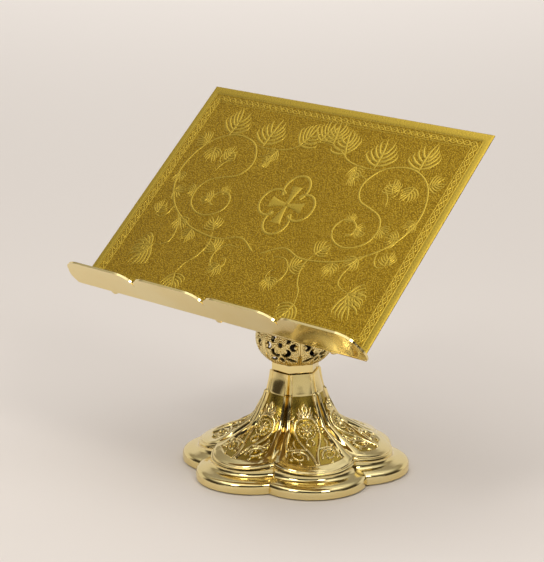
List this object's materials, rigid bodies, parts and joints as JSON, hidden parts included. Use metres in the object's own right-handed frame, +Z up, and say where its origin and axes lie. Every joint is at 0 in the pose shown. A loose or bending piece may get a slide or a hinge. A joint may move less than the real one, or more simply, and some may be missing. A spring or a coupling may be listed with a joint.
{
  "type": "bible stand",
  "caption": "Brass bible stand: sloping etched desk with a notched book ledge, on a six-lobed cast foot with a pierced knop; it swivels and tilts.",
  "frame": {"origin": "centre of the felt's underside, on the column's axis", "axes": "+Z up along the column, the desk faces -Y and slopes up towards +Y, its width runs along X"},
  "size_m": [0.3524, 0.2145, 0.3037],
  "materials": {
    "brass_polished": "mirror polished and lacquered",
    "brass_etched": "etched and stippled satin with engraved scrolls",
    "steel": "plain turned",
    "felt": "green wool felt",
    "fibre": "vulcanised fibre"
  },
  "bodies": {
    "root": {"foot": "brass_polished", "base_cover": "steel", "base_screw_1": "steel", "base_screw_2": "steel", "base_screw_3": "steel", "felt_pad": "felt", "tie_rod": "steel", "rod_nut": "steel", "rod_washer": "steel", "hex_collar": "brass_polished", "knop": "brass_polished", "knop_core_tube": "steel", "upper_collar": "brass_polished", "stem": "brass_polished"},
    "lock_screw": {"swivel_lock_screw": "brass_polished"},
    "swivel": {"swivel_head": "brass_polished", "pivot_bolt": "steel", "pivot_washer": "steel", "friction_washer_left": "fibre", "friction_washer_right": "fibre"},
    "tilt_nut": {"tilt_thumb_nut": "brass_polished"},
    "desk": {"pivot_lug": "brass_polished", "backing_pad": "brass_polished", "lug_screw_1": "steel", "lug_screw_2": "steel", "lug_screw_3": "steel", "lug_screw_4": "steel", "desk_plate": "brass_etched", "ledge": "brass_polished", "ledge_rivet_1": "brass_polished", "ledge_rivet_2": "brass_polished", "ledge_rivet_3": "brass_polished"}
  },
  "joints": [
    {"name": "desk_swivel", "type": "hinge", "parent": "root", "child": "swivel", "pos_m": [0, 0, 0.178], "axis": [0, 0, 1], "continuous": true},
    {"name": "swivel_lock_turn", "type": "hinge", "parent": "root", "child": "lock_screw", "pos_m": [0, 0.016, 0.166], "axis": [0, 1, 0], "range_deg": [0, 360]},
    {"name": "desk_tilt", "type": "hinge", "parent": "swivel", "child": "desk", "pos_m": [0, 0, 0.205], "axis": [1, 0, 0], "range_deg": [-24, 26]},
    {"name": "tilt_nut_turn", "type": "hinge", "parent": "swivel", "child": "tilt_nut", "pos_m": [0.02, 0, 0.205], "axis": [1, 0, 0], "range_deg": [0, 360]}
  ]
}
